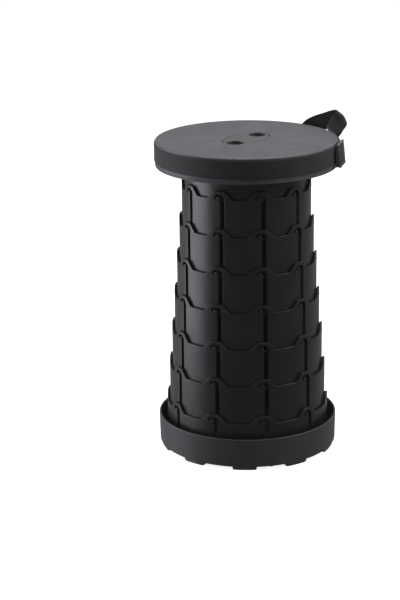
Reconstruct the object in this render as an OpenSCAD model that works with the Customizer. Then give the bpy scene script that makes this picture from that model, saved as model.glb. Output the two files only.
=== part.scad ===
// Telescopic camp stool, standing at its full height.
// Origin on the ground at the stool's axis, +Z up. The carrying handle is on the +X +Y side.

/* [Seat] */
// Radius of the seat disc
seat_r = 125; // [122:0.5:130]
// Height of the sitting face above the ground
seat_top = 437; // [436:0.5:439]
// Thickness of the seat disc
seat_t = 2.8; // [2.4:0.1:4]
// Height of the seat's side, from the sitting face to its lower edge
seat_side = 35; // [34:0.5:37]
// Long diameter of the oval finger insert
insert_l = 90; // [86:1:94]
// Short diameter of the oval finger insert
insert_w = 52; // [46:1:58]
// Diameter of the two finger holes
finger_d = 24; // [22:0.5:25]
// Distance between the two finger holes
finger_gap = 59.5; // [56:0.5:60]
// Direction of the line through the finger holes, anticlockwise from +X
finger_angle = 60; // [0:1:180]

/* [Rings] */
// Number of nested rings
ring_count = 8; // [8:1:8]
// Outer radius of the smallest ring, under the seat
ring_r1 = 85; // [84:0.5:86]
// Growth of the radius from one ring to the next
ring_step = 4.04; // [3.9:0.02:4.1]
// Wall thickness of a ring
ring_t = 2.2; // [1.8:0.1:2.3]
// Height from one ring's shoulder to the next one's
ring_pitch = 51.45; // [51:0.05:51.6]
// Height of a ring from its bottom edge to its shoulder
ring_h = 55.5; // [54.5:0.5:55.5]
// Height of the lowest ring's shoulder above the ground
shoulder_z = 63.1; // [63.1:0.1:64]

/* [Arches and slots] */
// Number of arches round a ring
arches = 10; // [8:1:10]
// Height of an arch above the shoulder
arch_h = 11; // [9:0.5:11]
// Width of an arch at its foot
arch_w = 37.5; // [34:0.5:39]
// Width of an arch along its flat crest
crest_w = 16; // [15.5:0.5:18]
// Width of the long guide slot
slot_w = 6; // [4:0.2:6.6]
// Direction of one guide slot, anticlockwise from +X
slot_angle = -76.1; // [-90:0.1:-54]
// Turn of each ring about the axis against the next larger one, anticlockwise
ring_turn = 0.15; // [0:0.05:0.3]

/* [Base] */
// Outer radius of the base tray at its rim
base_r = 125; // [123.5:0.5:128]
// Height of the base tray's rim above the ground
base_rim = 45; // [40:0.5:45]
// Wall thickness of the base tray
base_t = 2.6; // [2:0.1:3]
// Height of the base floor's underside above the ground
base_z = 4.6; // [4:0.1:4.6]
// Width of a foot, measured as an angle about the stool's axis
foot_angle = 16; // [10:1:18]

/* [Webbing and buckle] */
// Width of the webbing
web_w = 25; // [20:1:25]
// Thickness of the webbing
web_t = 1.5; // [1:0.1:1.5]
// Direction of the buckle, anticlockwise from +X
buckle_angle = -13; // [-30:1:-6]
// Length of the buckle along the webbing
buckle_l = 36; // [32:1:38]

/* [Hidden] */
$fn = 96;

plate_z = seat_top - seat_t;
side_z = seat_top - seat_side;
side_t = 4.6;
lip_h = 2.6;
lower_lip_h = 6.8;
web_z = (seat_top - lip_h + side_z + lower_lip_h) / 2;
groove_r = seat_r - 0.4;
floor_t = shoulder_z - ring_h - base_z;
floor_z = base_z + floor_t;
pad_t = 1.4;
feet = 10;
foot_offset = -92;
foot_r = 122.4;
foot_depth = 21;
screw_count = 5;
screw_r = 1.45;
screw_hole_r = 1.7;
screw_boss_r = 4;
base_screw_at = 117.4;
base_screw_offset = -74;
seat_screw_at = 76;
flange_z = seat_top - 18;
flange_t = 2.5;
arch_pitch = 360 / arches;
slot_u = 4.7;
leg_u = -5.6;
leg_w = 2.8;
leg_foot = 0.5;
band = 4.3;
crest_step = 0.8;
slot_foot = 3.2;
peg_r = 1.7;
peg_h = 1.4;
rib_t = 2;
rib_depth = 8;
collar_t = 2;

function ring_r(i) = ring_r1 + ring_step * (i - 1);
function shoulder(i) = shoulder_z + ring_pitch * (ring_count - i);
function bottom(i) = shoulder(i) - ring_h;
function arch_dir(i) = slot_angle + ring_turn * (ring_count - i) - slot_u / ring_r(i) * 180 / PI;

// Height of an arch's flank at distance u from its centre, steep at its foot and easing off
// to the small step at its crest
function ramp_z(u) =
    let (to_crest = (2 * u - crest_w) / (arch_w - crest_w))
        (arch_h - crest_step) * (1 - pow(to_crest, 1.5));

function ellipse(a, b, steps = 64) = [
    for (k = [0:steps - 1]) [a * cos(360 * k / steps), b * sin(360 * k / steps)]
];

// Extrudes its flat outline outwards, across a wall at radius r
module through_wall(angle, r) {
    rotate([0, 0, angle])
        translate([r - ring_t - 2, 0, 0])
            rotate([90, 0, 90])
                linear_extrude(ring_t + 5)
                    children();
}

module tube(r, t, z0, z1) {
    translate([0, 0, z0])
        difference() {
            cylinder(r = r, h = z1 - z0);
            translate([0, 0, -1])
                cylinder(r = r - t, h = z1 - z0 + 2);
        }
}

// One cut between two arches, drawn flat as seen from the middle of the valley
module valley_cut(i) {
    r = ring_r(i);
    steps = 6;
    ramp = [
        for (k = [0:steps])
            let (u = arch_w / 2 - (arch_w - crest_w) / 2 * k / steps)
                [r * sin(arch_pitch / 2 - u / r * 180 / PI), shoulder(i) + ramp_z(u)]
    ];
    top = shoulder(i) + arch_h + 1;
    left = [for (p = ramp) [-p[0], p[1]]];
    right_side = concat(ramp, [[ramp[steps][0], top]]);
    left_side = concat([[left[steps][0], top]], [for (k = [steps:-1:0]) left[k]]);
    polygon(concat(right_side, left_side));
}

// The hooked cut in an arch: a long slot, a turn over the top and a short leg
module hook_cut(i) {
    z = shoulder(i);
    left = leg_u - leg_w / 2;
    right = slot_u + slot_w / 2;
    outer_r = (right - left) / 2;
    outer_c = [(left + right) / 2, z + arch_h - band - outer_r];
    tongue_left = leg_u + leg_w / 2;
    tongue_right = slot_u - slot_w / 2;
    tongue_r = (tongue_right - tongue_left) / 2;
    tongue_z = z + arch_h - band - leg_w - tongue_r;
    below = 12;
    difference() {
        union() {
            translate(outer_c)
                circle(r = outer_r);
            translate([tongue_right, bottom(i) + slot_foot])
                square([slot_w, outer_c[1] - bottom(i) - slot_foot]);
        }
        translate([(tongue_left + tongue_right) / 2, tongue_z])
            circle(r = tongue_r);
        translate([tongue_left, z + leg_foot - 1])
            square([tongue_right - tongue_left, tongue_z - z - leg_foot + 1]);
        translate([left - 1, z + leg_foot - below])
            square([tongue_right - left + 1, below]);
    }
}

// Short bayonet pegs near a ring's bottom edge, in line with the next ring's short legs
module pegs(i) {
    for (k = [0:arches - 1])
        rotate([0, 0, arch_dir(i + 1) + leg_u / ring_r(i + 1) * 180 / PI + arch_pitch * k])
            translate([ring_r(i) - ring_t / 2, 0, bottom(i) + 5])
                rotate([0, 90, 0])
                    cylinder(r = peg_r, h = ring_t / 2 + peg_h, $fn = 32);
}

module scalloped_ring(i) {
    color("#2b2b2d")
        union() {
            difference() {
                tube(ring_r(i), ring_t, bottom(i), shoulder(i) + arch_h);
                for (k = [0:arches - 1]) {
                    through_wall(arch_dir(i) + arch_pitch * (k + 0.5), ring_r(i))
                        valley_cut(i);
                    through_wall(arch_dir(i) + arch_pitch * k, ring_r(i))
                        hook_cut(i);
                }
            }
            if (i < ring_count)
                pegs(i);
        }
}

// Places its children at each screw of a circle
module at_screws(r, offset = 0) {
    for (k = [0:screw_count - 1])
        rotate([0, 0, offset + 360 / screw_count * k])
            translate([r, 0, 0])
                children();
}

// A pan-head screw pointing up, with the underside of its head at z
module screw(z, length) {
    head_r = 3.1;
    head_h = 1.8;
    translate([0, 0, z - head_h])
        cylinder(r = head_r, h = head_h, $fn = 32);
    translate([0, 0, z])
        cylinder(r = screw_r, h = length, $fn = 32);
}

module base_tray() {
    color("#2e2e30")
        difference() {
            union() {
                rotate_extrude()
                    polygon([
                        [0, base_z], [base_r - 3, base_z], [base_r - 1.4, base_z + 0.7],
                        [base_r - 0.8, base_z + 2.4], [base_r, base_rim - 0.6],
                        [base_r - 0.6, base_rim], [base_r - base_t, base_rim],
                        [base_r - base_t - 0.8, floor_z], [0, floor_z]
                    ]);
                for (k = [0:feet - 1])
                    rotate([0, 0, foot_offset + 360 / feet * k - foot_angle / 2])
                        rotate_extrude(angle = foot_angle)
                            polygon([
                                [foot_r - foot_depth, pad_t], [foot_r - 0.6, pad_t],
                                [foot_r, pad_t + 0.6], [foot_r, base_z + 1],
                                [foot_r - foot_depth, base_z + 1]
                            ]);
                for (r = [32, 77])
                    tube(r, rib_t, pad_t + 0.8, base_z + 1);
                for (k = [0:feet - 1])
                    rotate([0, 0, foot_offset + 360 / feet * k])
                        translate([31, -rib_t / 2, pad_t + 0.8])
                            cube([foot_r - foot_depth - 30, rib_t, base_z - pad_t + 0.2]);
            }
            at_screws(base_screw_at, base_screw_offset)
                cylinder(r = screw_hole_r, h = base_rim, $fn = 32);
        }
}

module foot_pads() {
    margin = 0.8;
    color("#1d1d1f")
        for (k = [0:feet - 1])
            rotate([0, 0, foot_offset + 360 / feet * k - foot_angle / 2 + margin / 2])
                rotate_extrude(angle = foot_angle - margin)
                    polygon([
                        [foot_r - foot_depth + margin, 0], [foot_r - margin, 0],
                        [foot_r - margin / 2, pad_t], [foot_r - foot_depth + margin, pad_t]
                    ]);
}

module base_screws() {
    color("#8a8c90")
        at_screws(base_screw_at, base_screw_offset)
            screw(base_z, 13);
}

module ring_8() {
    lug_h = 14;
    i = ring_count;
    scalloped_ring(i);
    color("#2b2b2d")
        at_screws(base_screw_at, base_screw_offset)
            difference() {
                union() {
                    translate([0, 0, bottom(i)])
                        cylinder(r = screw_boss_r, h = lug_h, $fn = 32);
                    translate([ring_r(i) - 0.8 - base_screw_at, -2, bottom(i)])
                        cube([base_screw_at - ring_r(i), 4, lug_h]);
                }
                translate([0, 0, bottom(i) - 1])
                    cylinder(r = screw_r + 0.03, h = lug_h - 1, $fn = 32);
            }
}

module ring_7() {
    scalloped_ring(7);
}

module ring_6() {
    scalloped_ring(6);
}

module ring_5() {
    scalloped_ring(5);
}

module ring_4() {
    scalloped_ring(4);
}

module ring_3() {
    scalloped_ring(3);
}

module ring_2() {
    scalloped_ring(2);
}

// The smallest ring is plain and is screwed up under the seat by its inner flange
module ring_1() {
    flange_w = 14;
    color("#2b2b2d")
        difference() {
            union() {
                tube(ring_r1, ring_t, bottom(1), plate_z);
                tube(ring_r1 - ring_t + 0.1, flange_w, flange_z, flange_z + flange_t);
                pegs(1);
            }
            at_screws(seat_screw_at)
                translate([0, 0, flange_z - 1])
                    cylinder(r = screw_hole_r, h = flange_t + 2, $fn = 32);
        }
}

module seat_plate() {
    hub_r = 55;
    gap = 0.5;
    color("#6a6c70")
        difference() {
            union() {
                rotate_extrude()
                    polygon([
                        [0, seat_top], [seat_r - 1.6, seat_top], [seat_r - 0.5, seat_top - 0.5],
                        [seat_r, seat_top - 1.4], [seat_r, seat_top - lip_h],
                        [groove_r, seat_top - lip_h], [groove_r, side_z + lower_lip_h],
                        [seat_r, side_z + lower_lip_h],
                        [seat_r, side_z + 1], [seat_r - 0.8, side_z], [seat_r - side_t + 0.6, side_z],
                        [seat_r - side_t, side_z + 1], [seat_r - side_t, plate_z], [0, plate_z]
                    ]);
                tube(hub_r, rib_t, plate_z - rib_depth, plate_z + 0.5);
                for (k = [0:9])
                    rotate([0, 0, 18 + 36 * k])
                        translate([hub_r - 0.5, -rib_t / 2, plate_z - rib_depth])
                            cube([ring_r1 - ring_t - 0.3 - hub_r, rib_t, rib_depth + 0.5]);
                at_screws(seat_screw_at)
                    translate([0, 0, flange_z + flange_t])
                        cylinder(r = screw_boss_r, h = plate_z - flange_z - flange_t + 0.5, $fn = 32);
            }
            rotate([0, 0, finger_angle])
                translate([0, 0, plate_z - 1])
                    linear_extrude(seat_t + 2)
                        polygon(ellipse(insert_l / 2 + gap, insert_w / 2 + gap));
            at_screws(seat_screw_at)
                translate([0, 0, flange_z])
                    cylinder(r = screw_r + 0.03, h = 13.5, $fn = 32);
        }
}

module seat_screws() {
    color("#8a8c90")
        at_screws(seat_screw_at)
            screw(flange_z, 12);
}

module finger_insert() {
    flange_h = 2.2;
    flange_out = 3.6;
    collar_h = 14;
    flange_top = plate_z - 0.1;
    color("#74767b")
        rotate([0, 0, finger_angle])
            difference() {
                union() {
                    translate([0, 0, flange_top - 1])
                        linear_extrude(seat_top - flange_top + 1)
                            polygon(ellipse(insert_l / 2, insert_w / 2));
                    translate([0, 0, flange_top - flange_h])
                        linear_extrude(flange_h)
                            polygon(ellipse(insert_l / 2 + flange_out, insert_w / 2 + flange_out));
                    for (side = [-1, 1])
                        translate([side * finger_gap / 2, 0, flange_top - collar_h])
                            cylinder(r = finger_d / 2 + collar_t, h = collar_h);
                }
                for (side = [-1, 1])
                    translate([side * finger_gap / 2, 0, flange_top - collar_h - 1])
                        cylinder(r = finger_d / 2, h = seat_t + collar_h + 3);
            }
}

module rim_strap() {
    color("#141416")
        tube(groove_r + 0.1 + web_t, web_t, web_z - web_w / 2, web_z + web_w / 2);
}

// Route of the handle webbing's centre line, from its loose tail, round the rim, out into the
// carrying loop and back to the buckle. Each stop holds a direction about the axis, a radius, a
// rise above the groove's middle, a lean of the lower edge outwards, and that lean's direction.
handle_stops = [
    [132, 132, 0, 0, 132], [121, 129, 0, 0, 121], [108, 127.4, 0, 0, 108],
    [92, 127.4, 0, 0, 92], [76, 127.4, 0, 0, 76], [63, 127.5, 0, 0, 63],
    [55, 128.8, 0, 0, 50], [50, 131, 3, 6, 40], [46.5, 134, 11, 12, 30],
    [42, 137.5, 17, 20, 20], [36.5, 141.5, 22.5, 28, 8], [31.5, 147, 28, 36, 2],
    [28.6, 149.6, 29.5, 40, 0], [27, 147.5, 26.5, 40, 0], [26.4, 140, 18.5, 40, 2],
    [25.3, 133.5, 9.5, 32, 8], [20, 131, 2.5, 14, 14], [12, 128.7, 0, 3, 12],
    [3, 127.4, 0, 0, 3], [-8, 127.4, 0, 0, -8], [-18, 127.4, 0, 0, -18]
];

// Smooth value between stops b and c at fraction t, with their neighbours a and d
function blend(a, b, c, d, t) =
    0.5 * (2 * b + (c - a) * t + (2 * a - 5 * b + 4 * c - d) * t * t
        + (3 * b - a - 3 * c + d) * t * t * t);

function clamp_index(stops, k) = stops[max(0, min(len(stops) - 1, k))];

function between(stops, s) =
    let (k = min(len(stops) - 2, floor(s)))
        blend(clamp_index(stops, k - 1), stops[k], stops[k + 1], clamp_index(stops, k + 2), s - k);

function centre(p) = [p[1] * cos(p[0]), p[1] * sin(p[0]), web_z + p[2]];
function across(p) = [sin(p[3]) * cos(p[4]), sin(p[3]) * sin(p[4]), -cos(p[3])];
function unit(v) = v / norm(v);

// The four corners of the webbing's section at s
function web_corners(stops, s) =
    let (
        p = between(stops, s),
        run = centre(between(stops, s + 0.01)) - centre(between(stops, s - 0.01)),
        w = across(p),
        face = unit(cross(run, w))
    )
        [
            centre(p) + w * web_w / 2 + face * web_t / 2,
            centre(p) + w * web_w / 2 - face * web_t / 2,
            centre(p) - w * web_w / 2 - face * web_t / 2,
            centre(p) - w * web_w / 2 + face * web_t / 2
        ];

module handle_strap() {
    per_stop = 4;
    last = (len(handle_stops) - 1) * per_stop;
    corners = [
        for (k = [0:last])
            each web_corners(handle_stops, min(len(handle_stops) - 1.011, max(0.011, k / per_stop)))
    ];
    sides = [
        for (k = [0:last - 1], j = [0:3])
            let (a = 4 * k + j, b = 4 * k + (j + 1) % 4)
                each [[a, b, b + 4], [a, b + 4, a + 4]]
    ];
    ends = [
        [2, 1, 0], [3, 2, 0],
        [4 * last, 4 * last + 1, 4 * last + 2], [4 * last, 4 * last + 2, 4 * last + 3]
    ];
    color("#141416")
        polyhedron(points = corners, faces = concat(sides, ends));
}

// Bars and rails of the ladder-lock buckle, in a frame at its middle whose +X points outwards
rail_h = 3;
rail_t = 3.8;
bar_x = 0.6;
bar_t = 2.4;
opening_h = web_w + 1.2;

// Places its children at the buckle, which leans outwards at its lower edge
module at_buckle() {
    lean = 6;
    rotate([0, 0, buckle_angle])
        translate([seat_r + 4.8, 0, web_z])
            rotate([0, -lean, 0])
                children();
}

module buckle() {
    end_bar = 4;
    centre_bar = 5;
    heel_t = 2.2;
    heel_h = opening_h / 2 + rail_h - 1;
    heel_top = -0.7;
    heel_low = -3.9;
    color("#55575b")
        at_buckle()
            union() {
                for (side = [-1, 1])
                    translate([0, -buckle_l / 2, side * (opening_h + rail_h) / 2 - rail_h / 2])
                        cube([rail_t, buckle_l, rail_h]);
                for (y = [-buckle_l / 2, buckle_l / 2 - end_bar])
                    translate([bar_x, y, -opening_h / 2 - 0.5])
                        cube([bar_t, end_bar, opening_h + 1]);
                translate([bar_x, -centre_bar / 2, -opening_h / 2 - 0.5])
                    cube([bar_t, centre_bar, opening_h + 1]);
                for (y = [heel_t - buckle_l / 2, buckle_l / 2])
                    translate([0, y, 0])
                        rotate([90, 0, 0])
                            linear_extrude(heel_t)
                                polygon([[heel_low, -heel_h], [bar_x + 1, -heel_h],
                                         [bar_x + 1, heel_h], [heel_top, heel_h]]);
            }
}

// The webbing that goes over the buckle's middle bar and under its end bars
module buckle_webbing() {
    foot_y = 15.4;
    rise_y = 12;
    top_y = 3.6;
    low_x = -0.3;
    high_x = bar_x + bar_t + 0.2;
    lap_t = 0.8;
    color("#141416")
        at_buckle()
            translate([0, 0, -web_w / 2])
                linear_extrude(web_w)
                    polygon([
                        [low_x, -foot_y], [low_x + lap_t, -foot_y], [low_x + lap_t, -rise_y - 0.4],
                        [high_x + lap_t + 0.2, -top_y], [high_x + lap_t + 0.2, top_y],
                        [low_x + lap_t, rise_y + 0.4], [low_x + lap_t, foot_y], [low_x, foot_y],
                        [low_x, rise_y - 0.4], [high_x, top_y - 0.6], [high_x, 0.6 - top_y],
                        [low_x, 0.4 - rise_y]
                    ]);
}

base_tray();
foot_pads();
base_screws();
ring_8();
ring_7();
ring_6();
ring_5();
ring_4();
ring_3();
ring_2();
ring_1();
seat_plate();
seat_screws();
finger_insert();
rim_strap();
handle_strap();
buckle();
buckle_webbing();
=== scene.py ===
"""Looks for a telescopic camp stool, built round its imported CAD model. Lengths are in metres."""
from math import ceil, cos, exp, pi, radians, sin, tan

import bpy
from mathutils import Matrix, Vector
from mathutils.geometry import delaunay_2d_cdt
from mathutils.noise import noise


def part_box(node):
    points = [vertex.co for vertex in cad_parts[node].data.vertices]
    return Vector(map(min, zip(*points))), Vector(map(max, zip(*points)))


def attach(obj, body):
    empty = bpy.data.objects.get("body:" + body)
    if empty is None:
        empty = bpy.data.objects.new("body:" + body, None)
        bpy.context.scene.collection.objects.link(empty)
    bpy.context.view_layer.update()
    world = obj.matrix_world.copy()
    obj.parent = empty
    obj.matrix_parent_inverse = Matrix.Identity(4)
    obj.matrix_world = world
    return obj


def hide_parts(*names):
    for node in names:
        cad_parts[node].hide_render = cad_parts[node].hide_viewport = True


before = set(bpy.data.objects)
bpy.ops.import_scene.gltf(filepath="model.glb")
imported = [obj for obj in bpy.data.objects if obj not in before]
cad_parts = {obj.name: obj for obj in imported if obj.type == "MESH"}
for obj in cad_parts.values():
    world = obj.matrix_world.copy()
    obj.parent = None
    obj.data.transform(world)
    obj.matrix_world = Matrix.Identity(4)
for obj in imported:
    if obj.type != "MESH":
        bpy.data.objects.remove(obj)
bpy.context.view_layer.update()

# Seat. The webbing lies on a bed round its side, between an upper and a lower lip
seat_low, seat_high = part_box("seat_plate")
SEAT_R = seat_high.x
SEAT_TOP = seat_high.z
SEAT_FOOT = seat_low.z
SEAT_PLATE_T = 0.0028
SEAT_PLATE_Z = SEAT_TOP - SEAT_PLATE_T
SEAT_SIDE_T = 0.0046
UPPER_LIP = 0.0026
LOWER_LIP = 0.0068
WEB_BED_R = SEAT_R - 0.0004
INSERT_LONG = 0.045
INSERT_SHORT = 0.026
INSERT_GAP = 0.0008
FINGER_R = 0.012
FINGER_AT = 0.02975
FINGER_TURN = radians(60)
COLLAR_T = 0.002
COLLAR_DEPTH = 0.0141

# Rings
RING_COUNT = 8
RING_R1 = 0.085
RING_STEP = 0.00404
RING_T = 0.0022
RING_PITCH = 0.05145
RING_HEIGHT = 0.0555
LOWEST_SHOULDER = 0.0631
RING_TURN = radians(0.15)
ARCHES = 10
ARCH_HEIGHT = 0.011
ARCH_FOOT = 0.01875
ARCH_CREST = 0.008
SLOT_ANGLE = radians(-76.1)
SLOT_U = 0.0047
SLOT_W = 0.006
LEG_U = -0.0056
LEG_W = 0.0028
LEG_FOOT = 0.0005
HOOK_BAND = 0.0043
SLOT_FOOT = 0.0032
PEG_R = 0.0017
PEG_HEIGHT = 0.0014
PEG_RISE = 0.005
RIM_BEAD = 0.0012

# Base
BASE_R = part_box("base_tray")[1].x
BASE_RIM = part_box("base_tray")[1].z
BASE_Z = 0.0046
BASE_T = 0.0026
FLOOR_Z = 0.0076
PAD_T = 0.0014
FEET = 10
FOOT_OFFSET = radians(-92)
FOOT_R = 0.1224
FOOT_DEPTH = 0.021
FOOT_ANGLE = radians(16)
BASE_RIBS = (0.032, 0.077)

# Screws, bosses and ribs
SCREWS = 5
SCREW_R = 0.00145
BASE_SCREW_AT = 0.1174
BASE_SCREW_OFFSET = radians(-74)
SEAT_SCREW_AT = 0.076
BOSS_BORE = 0.0015
BOSS_R = 0.004
RIB_CORNERS = (0.0004, 0.0004, 0.0001, 0.0001)
FLANGE_Z = SEAT_TOP - 0.018
FLANGE_T = 0.0025
FLANGE_W = 0.0139

# Webbing and buckle
WEB_W = 0.025
WEB_T = 0.0015
SHOWN_W = WEB_W - 0.0006
WEB_Z = (SEAT_TOP - UPPER_LIP + SEAT_FOOT + LOWER_LIP) / 2
BUCKLE_ANGLE = radians(-13)
BUCKLE_LENGTH = 0.036
BUCKLE_AT = SEAT_R + 0.0048
BUCKLE_LEAN = radians(6)

ROUND_STEPS = 176
ARC_STEP = radians(15)
WELD = 1e-6
EDGE = 0.0006

# Studio
BLACK_LEVEL = -0.003
FLOOR_GLOW = 0.86
BACKDROP_GLOW = 1.05
STUDIO_R = 14


# ---- outlines

def right_of(direction):
    """The unit vector to the right of a flat direction."""
    return Vector((direction.y, -direction.x)).normalized()


def rounded(corners, closed=True):
    """The outline through corners (x, y, radius), as (point, outward direction) pairs.

    Each corner becomes an arc. The solid lies to the left of the outline's direction.
    """
    outline = []
    count = len(corners)
    for k, (x, y, radius) in enumerate(corners):
        here = Vector((x, y))
        before = Vector(corners[k - 1][:2])
        after = Vector(corners[(k + 1) % count][:2])
        if not closed and k in (0, count - 1):
            outline.append((here, right_of(after - here if k == 0 else here - before)))
            continue
        back = (before - here).normalized()
        ahead = (after - here).normalized()
        if radius == 0:
            outline.append((here, (right_of(-back) + right_of(ahead)).normalized()))
            continue
        half = back.angle(ahead) / 2
        centre = here + (back + ahead).normalized() * radius / sin(half)
        start = here + back * radius / tan(half) - centre
        end = here + ahead * radius / tan(half) - centre
        way = 1 if start.x * end.y - start.y * end.x > 0 else -1
        sweep = (pi - 2 * half) * way
        steps = max(2, ceil(abs(sweep) / ARC_STEP))
        for s in range(steps + 1):
            spoke = Matrix.Rotation(sweep * s / steps, 2) @ start
            outline.append((centre + spoke, spoke.normalized() * way))
    return outline


def spaced(outline, longest, closed=True):
    """The same outline with points added wherever two are further apart than longest."""
    dense = []
    for k, (here, out) in enumerate(outline):
        dense.append((here, out))
        if k == len(outline) - 1 and not closed:
            break
        there, out_there = outline[(k + 1) % len(outline)]
        parts = ceil((there - here).length / longest)
        for s in range(1, parts):
            dense.append((here.lerp(there, s / parts), out.lerp(out_there, s / parts).normalized()))
    return dense


def backwards(outline):
    """The outline of a hole: run the other way round, with the solid outside it."""
    return [(here, -out) for here, out in reversed(outline)]


def around(count, first=0.0):
    """Evenly spaced directions round the stool's axis."""
    return [first + 2 * pi * k / count for k in range(count)]


def ellipse(long, short, count):
    """An ellipse about the origin, as (point, outward direction) pairs."""
    return [
        (Vector((long * cos(a), short * sin(a))),
         Vector((short * cos(a), long * sin(a))).normalized())
        for a in around(count)
    ]


def inside(point, loop):
    """True if point lies within the closed loop of points."""
    crossings = 0
    for k, b in enumerate(loop):
        a = loop[k - 1]
        if (a.y > point.y) != (b.y > point.y):
            if point.x < a.x + (b.x - a.x) * (point.y - a.y) / (b.y - a.y):
                crossings += 1
    return crossings % 2 == 1


def grid_between(border, holes, step_x, step_y, clear):
    """Points of a grid that lie inside border, outside holes, and clear of both."""
    loops = [border, *holes]
    near = [p for loop in loops for p in loop]
    low_x, high_x = min(p.x for p in border), max(p.x for p in border)
    low_y, high_y = min(p.y for p in border), max(p.y for p in border)
    columns = max(1, round((high_x - low_x) / step_x))
    rows = max(1, round((high_y - low_y) / step_y))
    found = []
    for i in range(1, columns):
        for j in range(1, rows):
            p = Vector((low_x + (high_x - low_x) * i / columns,
                        low_y + (high_y - low_y) * j / rows))
            if inside(p, border) and not any(inside(p, hole) for hole in holes):
                if min((p - q).length for q in near) > clear:
                    found.append(p)
    return found


def triangles_between(border, holes, inner):
    """Triangles over the points of border, holes and inner, as triples of their numbers."""
    points = list(border)
    edges = [(k, (k + 1) % len(border)) for k in range(len(border))]
    for hole in holes:
        first = len(points)
        edges += [(first + k, first + (k + 1) % len(hole)) for k in range(len(hole))]
        points += hole
    points += inner
    _, _, faces, origin, _, _ = delaunay_2d_cdt(points, edges, [], 0, 1e-9)
    kept = []
    for face in faces:
        a, b, c = (origin[v][0] for v in face)
        middle = (points[a] + points[b] + points[c]) / 3
        if inside(middle, border) and not any(inside(middle, hole) for hole in holes):
            turn = (points[b] - points[a]).cross(points[c] - points[a])
            kept.append((a, b, c) if turn > 0 else (a, c, b))
    return points, kept


# ---- meshes

def in_scene(name, data):
    """A new object in the scene, made from data."""
    made = bpy.data.objects.new(name, data)
    bpy.context.scene.collection.objects.link(made)
    return made


class Shell:
    """Gathers welded points with their normals, and the faces between them."""

    def __init__(self):
        self.places = []
        self.normals = []
        self.worn = []
        self.weave = []
        self.faces = []
        self.known = {}

    def point(self, place, normal, worn=0.0, weave=(0, 0, 0)):
        """The number of the point at place, which is made if it isn't there yet."""
        key = tuple(round(c / WELD) for c in place)
        if key not in self.known:
            self.known[key] = len(self.places)
            self.places.append(place)
            self.normals.append(normal)
            self.worn.append(worn)
            self.weave.append(weave)
        return self.known[key]

    def face(self, *corners):
        """A face over corners, without those that repeat."""
        kept = [c for k, c in enumerate(corners) if c != corners[k - 1]]
        if len(set(kept)) > 2:
            self.faces.append(kept)

    def bridge(self, one, other, closed=True):
        """Faces between two equally long rows of points."""
        for k in range(len(one) if closed else len(one) - 1):
            n = (k + 1) % len(one)
            self.face(one[k], other[k], other[n], one[n])

    def skin(self, rows, closed=True, flipped=False):
        """Faces between each row of points and the next."""
        for one, other in zip(rows, rows[1:]):
            if flipped:
                one, other = other, one
            self.bridge(one, other, closed)

    def bar(self, rows):
        """A skin over rows of points, closed at both ends."""
        self.skin(rows)
        self.face(*rows[0])
        self.face(*reversed(rows[-1]))

    def piece(self, name, body, material, slot, *replaced):
        """The finished object, riding on a CAD body."""
        mesh = bpy.data.meshes.new(name)
        mesh.from_pydata(self.places, [], self.faces)
        mesh.polygons.foreach_set("use_smooth", [True] * len(mesh.polygons))
        mesh.normals_split_custom_set_from_vertices([n.normalized() for n in self.normals])
        worn = mesh.attributes.new("worn", "FLOAT", "POINT")
        worn.data.foreach_set("value", self.worn)
        weave = mesh.attributes.new("weave", "FLOAT_VECTOR", "POINT")
        weave.data.foreach_set("vector", [c for w in self.weave for c in w])
        mesh.materials.append(material)
        made = in_scene(name, mesh)
        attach(made, body)
        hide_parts(*replaced)


UP = Vector((0, 0, 1))


def polar(radius, angle, z=0):
    """The point at a radius and an angle about the stool's axis, at height z."""
    return Vector((radius * cos(angle), radius * sin(angle), z))


def quarter(flat):
    """A flat direction turned left by a quarter."""
    return Vector((-flat.y, flat.x, 0))


def on_cylinder(radius, turn):
    """Places (u, z) on a cylinder, with u measured along it from the direction turn."""
    def place(u, z):
        out = polar(1, turn + u / radius)
        return out * radius + UP * z, out, quarter(out), UP
    return place


def on_plane(origin, along, up):
    """Places (u, v) on a plane through origin that faces along x up."""
    def place(u, v):
        return origin + along * u + up * v, along.cross(up), along, up
    return place


def facing_up(z, turn, way=1):
    """A level plane at height z, turned about the axis, that faces up, or down for a way of -1."""
    along = polar(1, turn)
    return on_plane(UP * z, along, quarter(along) * way)


def facing_down(z, turn):
    """A level plane at height z that faces down."""
    return facing_up(z, turn, way=-1)


def edge_rows(shell, chain, place, thickness, fillet, steps=3):
    """Rows of points from the front round the rounded edge to the back, one row at each lean."""
    leans = [pi / 2 * s / steps for s in range(steps + 1)]
    stations = [(fillet * (1 - cos(lean)), sin(lean), cos(lean)) for lean in leans]
    stations += [(thickness - depth, aside, -face) for depth, aside, face in reversed(stations)]
    rows = []
    for depth, aside_share, face_share in stations:
        row = []
        for spot, out in chain:
            inset = spot - out * fillet * (1 - aside_share)
            base, face, along, up = place(inset.x, inset.y)
            aside = along * out.x + up * out.y
            normal = aside * aside_share + face * face_share
            row.append(shell.point(base - face * depth, normal, aside_share))
        rows.append(row)
    return rows


def slab(shell, outline, holes, place, thickness, fillet=EDGE, step=0.004, hole_fillet=None):
    """A plate of even thickness with rounded edges, from its outline and holes."""
    chains = [outline] + [backwards(h) for h in holes]
    fronts, backs, loops = [], [], []
    for k, chain in enumerate(chains):
        radius = fillet if k == 0 or hole_fillet is None else hole_fillet
        rows = edge_rows(shell, chain, place, thickness, radius)
        shell.skin(rows)
        fronts += rows[0]
        backs += rows[-1]
        loops.append([spot - out * radius for spot, out in chain])
    inner = grid_between(loops[0], loops[1:], step, step, step * 0.45)
    points, triangles = triangles_between(loops[0], loops[1:], inner)
    for p in points[len(fronts):]:
        base, face, _, _ = place(p.x, p.y)
        fronts.append(shell.point(base, face))
        backs.append(shell.point(base - face * thickness, -face))
    for a, b, c in triangles:
        shell.face(fronts[a], fronts[b], fronts[c])
        shell.face(backs[a], backs[c], backs[b])


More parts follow.
